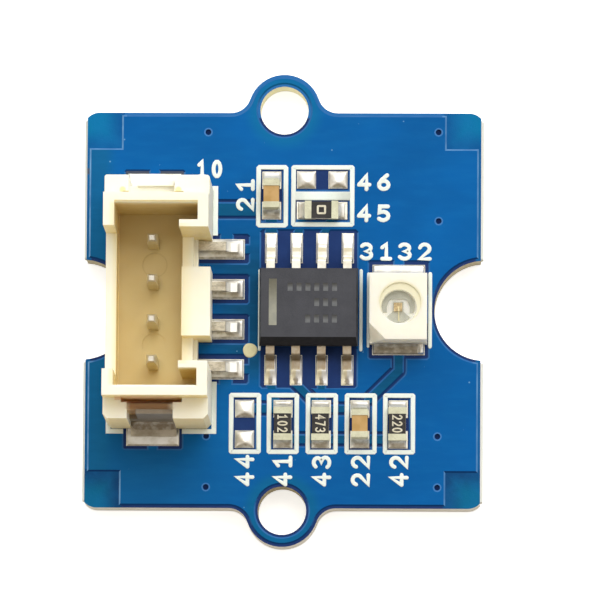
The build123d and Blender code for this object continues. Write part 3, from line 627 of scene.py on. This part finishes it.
class Ink:
    """Raised lines of print, gathered into one mesh."""

    def __init__(self, base, top):
        self.base = base
        self.top = top
        self.lift = 0.0
        self.verts = []
        self.faces = []

    def ring(self, centre, across, half, share=1.0):
        top = self.top + self.lift - 0.2 * (1 - share) * (self.top - self.base)
        for side, rise in SECTION:
            x, y = centre + across * (side * half * share)
            self.verts.append((x, y, self.base + (top - self.base) * rise))

    def line(self, points, width, closed=False, square=False):
        """A line of even width through the points, closed or with round or square ends."""
        pts = [Vector(p) for p in points]
        half = width / 2
        count = len(pts)
        first = len(self.verts)
        places = []
        for i, p in enumerate(pts):
            before = pts[i - 1] if i or closed else None
            after = pts[(i + 1) % count] if i < count - 1 or closed else None
            a = (p - before).normalized() if before is not None else None
            b = (after - p).normalized() if after is not None else None
            if a is None:
                a = b
            if b is None:
                b = a
            along = (a + b).normalized()
            across = Vector((-along.y, along.x)) / max(SHARPEST_MITRE, along.dot(a))
            places.append((p, along, across))
        rounded_ends = () if square or closed else ROUND_END
        p, along, across = places[0]
        for share in rounded_ends:
            self.ring(p - along * (half * math.sqrt(1 - share * share)), across, half, share)
        for p, along, across in places:
            self.ring(p, across, half)
        for share in reversed(rounded_ends):
            self.ring(p + along * (half * math.sqrt(1 - share * share)), across, half, share)
        rings = count + 2 * len(rounded_ends)
        self.skin(first, rings, closed)

    def skin(self, first, rings, closed):
        """Faces between the rings, and over both ends of an open line."""
        side = len(SECTION)
        last = rings if closed else rings - 1
        for i in range(last):
            a = first + i * side
            b = first + ((i + 1) % rings) * side
            for j in range(side):
                k = (j + 1) % side
                self.faces.append((a + j, a + k, b + k, b + j))
        if not closed:
            self.faces.append(tuple(first + j for j in range(side)))
            self.faces.append(tuple(first + last * side + j for j in reversed(range(side))))

    def build(self, name, mat, slot):
        add_piece(name, self.verts, self.faces, mat)


def oval(cx, cy, rx, ry, start=0, stop=360, steps=14):
    angles = [math.radians(start + (stop - start) * i / steps) for i in range(steps + 1)]
    return [(cx + rx * math.cos(a), cy + ry * math.sin(a)) for a in angles]


def cornered(x0, x1, y0, y1, cut):
    """A rectangle with cut corners."""
    return [(x0 + cut, y0), (x1 - cut, y0), (x1, y0 + cut), (x1, y1 - cut),
            (x1 - cut, y1), (x0 + cut, y1), (x0, y1 - cut), (x0, y0 + cut)]


def rounded(x0, x1, y0, y1, radius):
    """A rectangle with round corners."""
    corners = ((x1 - radius, y1 - radius), (x0 + radius, y1 - radius),
               (x0 + radius, y0 + radius), (x1 - radius, y0 + radius))
    points = []
    for index, (x, y) in enumerate(corners):
        points += oval(x, y, radius, radius, 90 * index, 90 * (index + 1), 4)
    return points


# Digits as centre lines in a cell 0.6 wide and 1 high: (closed, points)
CELL_W = 0.6
DIGITS = {
    "0": [(True, oval(0.3, 0.5, 0.3, 0.5)[:-1])],
    "1": [(False, [(0.08, 0.78), (0.33, 1.0), (0.33, 0.0)]), (False, [(0.08, 0.0), (0.58, 0.0)])],
    "2": [(False, oval(0.3, 0.7, 0.29, 0.3, 165, -38, 9) + [(0.02, 0.0), (0.6, 0.0)])],
    "3": [(False, oval(0.27, 0.75, 0.29, 0.25, 150, -60, 8) + [(0.27, 0.51)]
           + oval(0.27, 0.26, 0.32, 0.26, 60, -150, 8))],
    "4": [(False, [(0.45, 0.0), (0.45, 1.0), (0.0, 0.32)]), (False, [(0.0, 0.32), (0.62, 0.32)])],
    "5": [(False, [(0.55, 1.0), (0.08, 1.0), (0.05, 0.56)] + oval(0.27, 0.31, 0.32, 0.31, 110, -140, 9))],
    "6": [(False, [(0.5, 1.0), (0.2, 0.7), (0.02, 0.4)]), (True, oval(0.3, 0.3, 0.29, 0.3)[:-1])],
    "7": [(False, [(0.0, 1.0), (0.58, 1.0), (0.22, 0.0)])],
}
# Each stroke of a digit lies a little higher or lower than the one before
STROKE_LIFT = 0.005


def write(ink, text, x, y, height, width, stroke, turn=0.0, step=None):
    """Digits centred on (x, y), each in a cell of the given width, turned anticlockwise."""
    step = step or width * 1.4
    total = step * (len(text) - 1) + width
    spin = Matrix.Rotation(math.radians(turn), 2)
    tall = height - stroke
    wide = width - stroke
    for index, char in enumerate(text):
        left = -total / 2 + index * step + stroke / 2
        for closed, points in DIGITS[char]:
            ink.lift = STROKE_LIFT - ink.lift
            placed = []
            for px, py in points:
                local = spin @ Vector((left + px / CELL_W * wide, (py - 0.5) * tall))
                placed.append((x + local.x, y + local.y))
            ink.line(placed, stroke, closed)
    ink.lift = 0.0


# Print on the board

INK_BASE = LAMINATE - 0.005
INK_TOP = DECK + 0.022
LINE_W = 0.235
SOCKET_LINE_W = 0.25
PAIR_Y0, PAIR_Y1 = 4.285, 7.145

boxes = Ink(INK_BASE, INK_TOP)
for x in ROW_XS:
    boxes.line(cornered(x - 0.685, x + 0.685, -7.075, -4.255, 0.03), LINE_W, True)
boxes.line(cornered(-1.265, 0.095, 4.235, PAIR_Y1, 0.05), LINE_W, True)
boxes.line(cornered(0.475, 3.395, PAIR_Y0, PAIR_Y1, 0.03), LINE_W, True)
# The bar between the pair of boxes lies just under their lines
boxes.lift = -0.002
boxes.line([(0.5, 5.72), (3.37, 5.72)], 0.44, square=True)
boxes.lift = 0.0
# The socket's box is broken at the signal pads and at the lower anchor pad
box_x0, box_x1, box_y = -8.645, -3.395, 6.075
boxes.line([(box_x1, 3.72), (box_x1, box_y), (box_x0, box_y), (box_x0, -box_y), (-7.9, -box_y)],
           SOCKET_LINE_W, square=True)
boxes.line([(-4.98, -box_y), (box_x1, -box_y), (box_x1, -3.6)], SOCKET_LINE_W, square=True)
# Single lines stand beside the amplifier and the photodiode
for x, y0, y1, width in ((3.86, -1.97, 1.97, 0.17), (-1.17, -1.97, 1.97, 0.15),
                         (7.29, -1.8, 1.82, 0.2), (4.22, -1.8, 1.82, 0.14)):
    boxes.line([(x, y0), (x, y1)], width)
boxes.build("print_boxes", silk, "board_mask")

labels = Ink(INK_BASE, INK_TOP)
write(labels, "10", -3.72, 7.05, 0.94, 0.54, 0.2)
write(labels, "21", -1.92, 5.75, 0.94, 0.68, 0.2, 90)
write(labels, "46", 4.47, 6.41, 0.9, 0.7, 0.21)
write(labels, "45", 4.47, 4.85, 0.9, 0.7, 0.21)
write(labels, "31", 4.6, 2.94, 0.92, 0.68, 0.2)
write(labels, "32", 6.52, 2.94, 0.92, 0.7, 0.2)
for x, text in zip(ROW_XS, ("44", "41", "43", "22", "42")):
    write(labels, text, x, -8.02, 0.98, 0.68, 0.2, 90, 0.88)
labels.build("print_numbers", silk, "board_mask")


def puddle(name, x, y, radius, base, top, mat):
    """A flat round drop with a slightly uneven outline."""
    sides = 28
    profile = ((0.7, 1.0), (0.9, 0.92), (0.99, 0.6), (1.0, 0.0))
    verts = [(x, y, top)]
    faces = []
    for share, rise in profile:
        for i in range(sides):
            a = 2 * math.pi * i / sides
            r = radius * share * (1 + 0.03 * math.sin(3 * a + 1))
            verts.append((x + r * math.cos(a), y + r * math.sin(a), base + (top - base) * rise))
    for i in range(sides):
        k = (i + 1) % sides
        faces.append((0, 1 + i, 1 + k))
        for ring in range(len(profile) - 1):
            a = 1 + ring * sides
            faces.append((a + i, a + sides + i, a + sides + k, a + k))
    add_piece(name, verts, faces, mat)


puddle("print_dot", -1.63, -2.02, 0.36, INK_BASE, INK_TOP + 0.01, dot)

# Mask at the copper's edges

SLOPE_W = 0.08
SLOPE_FOOT = LAMINATE + 0.002
SLOPE_SHOULDER = DECK - 0.014
SLOPE_HEAD = DECK - 0.001


def top_edges(item):
    """Top edges of a plate's upright faces, each with the face's outward direction."""
    grid = item.matrix_world
    for face in item.data.polygons:
        out = (grid.to_3x3() @ face.normal).normalized()
        if abs(out.z) > 0.1:
            continue
        spots = [grid @ item.data.vertices[i].co / MM for i in face.vertices]
        high = [s for s in spots if abs(s.z - DECK) < 0.002]
        for a, b in zip(high, high[1:]):
            if (a - b).length > 0.003:
                yield a, b, Vector((out.x, out.y))


def slope_strips(name, items):
    """A strip down from each top edge, mitred where two edges meet."""
    edges = [edge for item in items for edge in top_edges(item)]
    around = {}
    for a, b, out in edges:
        for spot in (a, b):
            outs = around.setdefault((round(spot.x, 3), round(spot.y, 3)), [])
            if all((out - other).length > 0.02 for other in outs):
                outs.append(out)
    verts = []
    faces = []
    for a, b, out in edges:
        first = len(verts)
        for spot in (a, b):
            outs = around[(round(spot.x, 3), round(spot.y, 3))]
            lean = sum(outs, Vector((0, 0)))
            reach = lean / max(0.5, 1 + outs[0].dot(outs[-1])) if len(outs) > 1 else out
            for share, z in ((0.0, SLOPE_HEAD), (0.45, SLOPE_SHOULDER), (1.0, SLOPE_FOOT)):
                step = reach * SLOPE_W * share
                verts.append((spot.x + step.x, spot.y + step.y, z))
        a0, a1, a2, b0, b1, b2 = range(first, first + 6)
        cross = (b - a).xy.cross(out)
        for quad in ((a0, a1, b1, b0), (a1, a2, b2, b1)):
            faces.append(quad if cross < 0 else tuple(reversed(quad)))
    add_piece(name, verts, faces, slope)


slope_strips("mask_slopes", [nodes["copper_plane"], nodes["copper_tracks"]])

# Marks on the parts

SUNK = 0.01
amp_stripe = Ink(AMP_TOP - SUNK, AMP_TOP + 0.006)
amp_stripe.line([(-0.475, -0.93), (-0.475, 1.385)], 0.4, square=True)
amp_stripe.build("amplifier_stripe", stripe, "epoxy")

# Plain blocks stand where the real case has print
BLOCK_STEP = 0.44
BLOCK_W = 0.26
BLOCK_H = 0.4
amp_marks = Ink(AMP_TOP - SUNK, AMP_TOP + 0.004)
for x0, count, y in ((0.38, 6, 0.98), (1.7, 3, 0.22), (1.26, 4, -0.6)):
    for index in range(count):
        x = x0 + BLOCK_STEP * index
        amp_marks.line([(x, y - BLOCK_H / 2), (x, y + BLOCK_H / 2)], BLOCK_W, square=True)
amp_marks.build("amplifier_marks", faint, "epoxy")

values = Ink(CHIP_TOP - SUNK, CHIP_TOP + 0.008)
for x, text in zip(RESISTOR_XS, ("102", "473", "220")):
    write(values, text, x, -5.7, 0.52, 0.25, 0.075, -90, 0.32)
values.line(rounded(1.7, 2.06, 4.79, 5.15, 0.03), 0.1, True)
values.build("resistor_marks", mark, "resistor_coat")


# Solder

def ease(t):
    """Packs a grid's lines towards its edges."""
    return 0.5 - 0.5 * math.cos(math.pi * t)


class Solder:
    """Smooth solder surfaces over pads, each a grid whose height is a function."""

    def __init__(self):
        self.verts = []
        self.faces = []

    def patch(self, x0, x1, y0, y1, height, cells=(18, 18), corner=0.06, open_sides=""):
        """One grid, rounded down to the pad over the width corner but for its open sides."""
        nu, nv = cells
        first = len(self.verts)
        for j in range(nv + 1):
            for i in range(nu + 1):
                x = x0 + (x1 - x0) * ease(i / nu)
                y = y0 + (y1 - y0) * ease(j / nv)
                edge = 1.0
                for side, inset in zip("wesn", (x - x0, x1 - x, y - y0, y1 - y)):
                    if side not in open_sides:
                        edge *= math.sqrt(min(1.0, max(0.0, inset) / corner))
                self.verts.append((x, y, DECK + height(x, y) * edge))
        for j in range(nv):
            for i in range(nu):
                a = first + j * (nu + 1) + i
                self.faces.append((a, a + 1, a + nu + 2, a + nu + 1))

    def build(self, name, node):
        add_piece(name, self.verts, self.faces, solder, replaces=(node,))


def outside(x, y, x0, x1, y0, y1):
    """How far a point lies outside a rectangle."""
    dx = max(x0 - x, 0.0, x - x1)
    dy = max(y0 - y, 0.0, y - y1)
    return math.hypot(dx, dy)


def dome(mx, my, hx, hy, rise, lean):
    """A dome on a bare pad, with its crest off the middle."""
    def height(x, y):
        u = (x - mx) / hx
        v = (y - my) / hy
        body = max(0.0, 1 - abs(u) ** 2.6) ** 0.7 * max(0.0, 1 - abs(v) ** 2.6) ** 0.7
        crest = 1 + 0.35 * math.exp(-((u - lean[0]) ** 2 + (v - lean[1]) ** 2) / 0.18)
        return rise * body * crest + 0.012
    spare.patch(mx - hx, mx + hx, my - hy, my + hy, height, (20, 20), 0.05)


# Domes on the pads that carry no part
spare = Solder()
PAD_LONG, PAD_SHORT = 0.46, 0.43
PAD_STEP = 0.76
dome(-1.88, ROW_Y + PAD_STEP, PAD_LONG, PAD_SHORT, 0.16, (0.0, -0.45))
dome(-1.88, ROW_Y - PAD_STEP, PAD_LONG, PAD_SHORT, 0.17, (0.05, -0.5))
dome(1.12, 6.52, PAD_LONG, PAD_SHORT, 0.16, (0.0, -0.4))
dome(2.69, 6.52, PAD_LONG, PAD_SHORT, 0.16, (-0.05, -0.4))
spare.build("spare_pad_domes", "spare_pad_solder")

FILLET_REACH = 1.175
FILLET_OVERLAP = 0.05


def chip_fillet(x, y, half, sign, rise, along_x=False, wide=0.45):
    """A fillet from one end of a chip part, half its length from (x, y), to the pad's end."""
    def curve(d, across):
        rim = max(0.0, 1 - (abs(across) / wide) ** 4)
        return (0.03 + rise * math.exp(-max(0.0, d) / 0.15)) * (0.35 + 0.65 * rim)

    def height_along_x(px, py):
        return curve(abs(px - x) - half, py - y)

    def height_along_y(px, py):
        return curve(abs(py - y) - half, px - x)

    middle = x if along_x else y
    a, b = sorted((middle + sign * (half - FILLET_OVERLAP), middle + sign * FILLET_REACH))
    if along_x:
        ends.patch(a, b, y - wide, y + wide, height_along_x, (14, 12), 0.05, "w" if sign > 0 else "e")
    else:
        ends.patch(x - wide, x + wide, a, b, height_along_y, (12, 14), 0.05, "s" if sign > 0 else "n")


# Fillets at the ends of the chip parts
ends = Solder()
for x in RESISTOR_XS:
    for sign in (-1, 1):
        chip_fillet(x, ROW_Y - 0.01, 0.83, sign, 0.34)
for x, y in ((3.845, ROW_Y - 0.02), (-0.61, 5.735)):
    for sign in (-1, 1):
        chip_fillet(x, y, 0.78, sign, 0.5)
for sign in (-1, 1):
    chip_fillet(1.88, 4.97, 0.83, sign, 0.34, True, 0.42)
ends.build("chip_fillets", "chip_solder")


def lead_joint(x):
    """Solder round the foot of the amplifier's lead at x, with a lump at its toe."""
    def height(px, py):
        away = abs(py - AMP_Y)
        d = outside(px, away, x - 0.2, x + 0.2, 2.5, 3.03)
        toe = 0.2 * math.exp(-outside(px, away, x - 0.16, x + 0.16, 2.6, 3.1) / 0.2)
        return min(0.21, 0.025 + 0.14 * math.exp(-d / 0.06) + toe)
    return height


# Joints at the amplifier's leads
joints = Solder()
for index in range(4):
    x = AMP_X + AMP_PITCH * (index - 1.5)
    for sign in (-1, 1):
        y0, y1 = sorted((AMP_Y + sign * 2.33, AMP_Y + sign * 3.78))
        joints.patch(x - 0.285, x + 0.285, y0, y1, lead_joint(x), (16, 26), 0.06)
joints.build("amplifier_joints", "amplifier_solder")


def terminal_joint(sign):
    """Solder up an end terminal: humped at the far end, with a ridge at the near one."""
    def height(px, py):
        away = abs(py - DIODE_Y) - 1.75
        climb = 0.08 + 0.36 * math.exp(-max(0.0, away) / 0.2)
        if sign > 0:
            return climb + 0.1 * math.exp(-((px - DIODE_X - 0.12) / 0.2) ** 2)
        return max(climb, 0.42 * math.exp(-((px - 6.87) / 0.15) ** 4))
    return height


# Joints at the photodiode's end terminals
diode = Solder()
for sign in (-1, 1):
    y0, y1 = sorted((DIODE_Y + sign * 1.68, DIODE_Y + sign * 2.23))
    diode.patch(DIODE_X - 1.28, DIODE_X + 1.28, y0, y1, terminal_joint(sign), (36, 14), 0.06,
                "s" if sign > 0 else "n")
diode.build("photodiode_joints", "photodiode_solder")


def tail_joint(pad_y, tail_y):
    """A film over a signal pad, raised round the tail of its pin."""
    def height(px, py):
        v = (py - pad_y) / 0.5
        film = 0.1 * math.sqrt(max(0.0, 1 - v ** 8 * 0.85))
        d = outside(px, py, -2.7, -2.3, tail_y - 0.2, tail_y + 0.2)
        under = outside(px, py, -3.5, -2.7, tail_y - 0.16, tail_y + 0.16)
        return min(0.28, film + 0.2 * math.exp(-d / 0.12) + 0.22 * math.exp(-under / 0.06))
    return height


def anchor_joint(px, py):
    """Solder under and in front of an anchor plate, with a blob at its right."""
    away = abs(py - SOCKET_Y)
    rise = 0.32 * math.exp(-max(0.0, away - 5.76) / 0.22)
    inside = outside(px, away, -7.2, -5.5, 5.0, 5.95)
    shelf = 0.22 * math.exp(-(inside / 0.25) ** 2)
    blob = 0.2 * math.exp(-(((px + 5.2) / 0.1) ** 2 + ((away - 6.0) / 0.18) ** 2))
    return 0.05 + shelf + rise + blob


# Joints at the socket's tails and anchor plates
PAD_OFF = -0.05
socket = Solder()
for index in range(4):
    tail_y = SOCKET_Y + PIN_PITCH * (1.5 - index)
    pad_y = tail_y + PAD_OFF
    socket.patch(-5.3, -1.95, pad_y - 0.48, pad_y + 0.48, tail_joint(pad_y, tail_y), (46, 18), 0.06)
for sign in (-1, 1):
    y0, y1 = sorted((SOCKET_Y + sign * 5.7, sign * 6.79))
    socket.patch(-7.72, -5.14, y0, y1, anchor_joint, (44, 24), 0.07, "s" if sign > 0 else "n")
socket.build("socket_joints", "connector_solder")


# Stage, lamps and camera

# The floor's half width and its height, in metres
FLOOR_HALF = 1.2
FLOOR_Z = -2e-5


def floor_material():
    """Pale grey floor that also glows for the camera and in reflections."""
    g = Graph("floor", rough=0.9, level=0.1)
    g.set("Base Color", g.between(g.noise(40, 2), "#e9e9e9", "#f0f0f0"))
    rays = g.node("ShaderNodeLightPath")
    mirrored = g.calc("MAXIMUM", rays.outputs["Is Glossy Ray"], rays.outputs["Is Transmission Ray"])
    g.set("Emission Color", (1.0, 1.0, 1.0, 1.0))
    g.set("Emission Strength", g.product(g.calc("MAXIMUM", rays.outputs["Is Camera Ray"], mirrored), 0.6))
    return g.mat


def lay_floor():
    sheet = bpy.data.meshes.new("floor")
    corners = [(x * FLOOR_HALF, y * FLOOR_HALF, FLOOR_Z) for x, y in ((-1, -1), (1, -1), (1, 1), (-1, 1))]
    sheet.from_pydata(corners, [], [(0, 1, 2, 3)])
    sheet.materials.append(floor_material())
    floor = bpy.data.objects.new("floor", sheet)
    bpy.context.scene.collection.objects.link(floor)


def lamp(name, azimuth, elevation, distance, width, power):
    """A square area lamp that points at the board. Azimuth 0 is +Y, 90 is +X. Lengths in metres."""
    light = bpy.data.lights.new(name, "AREA")
    light.shape = "RECTANGLE"
    light.size = width
    light.size_y = width
    light.energy = power
    item = bpy.data.objects.new(name, light)
    az = math.radians(azimuth)
    el = math.radians(elevation)
    item.location = (distance * math.sin(az) * math.cos(el),
                     distance * math.cos(az) * math.cos(el), distance * math.sin(el))
    item.rotation_euler = (-Vector(item.location)).to_track_quat("-Z", "Y").to_euler()
    bpy.context.scene.collection.objects.link(item)


def studio_world():
    """Light from the far side above, dimmer and warmer from the near side. The camera sees white."""
    dark = (0.36, 0.31, 0.235, 1.0)
    bright = (1.36, 1.36, 1.36, 1.0)
    towards_light = Vector((0.1, 0.84, 0.53)).normalized()
    world = bpy.data.worlds.new("studio")
    world.use_nodes = True
    sky = world.node_tree
    coords = sky.nodes.new("ShaderNodeTexCoord")
    lean = sky.nodes.new("ShaderNodeVectorMath")
    lean.operation = "DOT_PRODUCT"
    lean.inputs[1].default_value = towards_light
    sky.links.new(coords.outputs["Generated"], lean.inputs[0])
    fade = sky.nodes.new("ShaderNodeMapRange")
    fade.interpolation_type = "SMOOTHSTEP"
    fade.inputs["From Min"].default_value = 0.1
    fade.inputs["From Max"].default_value = 0.95
    sky.links.new(lean.outputs["Value"], fade.inputs["Value"])
    blend = sky.nodes.new("ShaderNodeMix")
    blend.data_type = "RGBA"
    blend.inputs[6].default_value = dark
    blend.inputs[7].default_value = bright
    sky.links.new(fade.outputs[0], blend.inputs["Factor"])
    path = sky.nodes.new("ShaderNodeLightPath")
    shown = sky.nodes.new("ShaderNodeMix")
    shown.data_type = "RGBA"
    shown.inputs[7].default_value = (1.0, 1.0, 1.0, 1.0)
    sky.links.new(path.outputs["Is Camera Ray"], shown.inputs["Factor"])
    sky.links.new(blend.outputs[2], shown.inputs[6])
    background = sky.nodes["Background"]
    background.inputs["Strength"].default_value = 1.0
    sky.links.new(shown.outputs[2], background.inputs["Color"])
    bpy.context.scene.world = world


def place_camera():
    """The photograph's view: from above, a little from the near side and hardly turned."""
    place = Vector((12.0, -48.5, 412.6)) * MM
    aim = Vector((0.981, 0.503, 1.6)) * MM
    roll = math.radians(0.3676)
    ahead = (aim - place).normalized()
    right = ahead.cross(Vector((0, 1, 0))).normalized()
    up = right.cross(ahead)
    right_rolled = right * math.cos(roll) + up * math.sin(roll)
    up_rolled = up * math.cos(roll) - right * math.sin(roll)
    turn = Matrix((right_rolled, up_rolled, -ahead)).transposed()
    lens = bpy.data.cameras.new("camera")
    lens.sensor_fit = "HORIZONTAL"
    lens.sensor_width = 36.0
    lens.lens = 495.56
    lens.clip_start = 0.01
    lens.clip_end = 10.0
    camera = bpy.data.objects.new("camera", lens)
    bpy.context.scene.collection.objects.link(camera)
    camera.matrix_world = Matrix.Translation(place) @ turn.to_4x4()
    bpy.context.scene.camera = camera


lay_floor()
lamp("key", 18, 52, 0.6, 0.45, 1.8)
lamp("fill_right", 100, 40, 0.6, 0.3, 0.25)
lamp("fill_left", 235, 40, 0.6, 0.3, 0.3)
studio_world()
place_camera()
bpy.context.scene.view_settings.view_transform = "Standard"
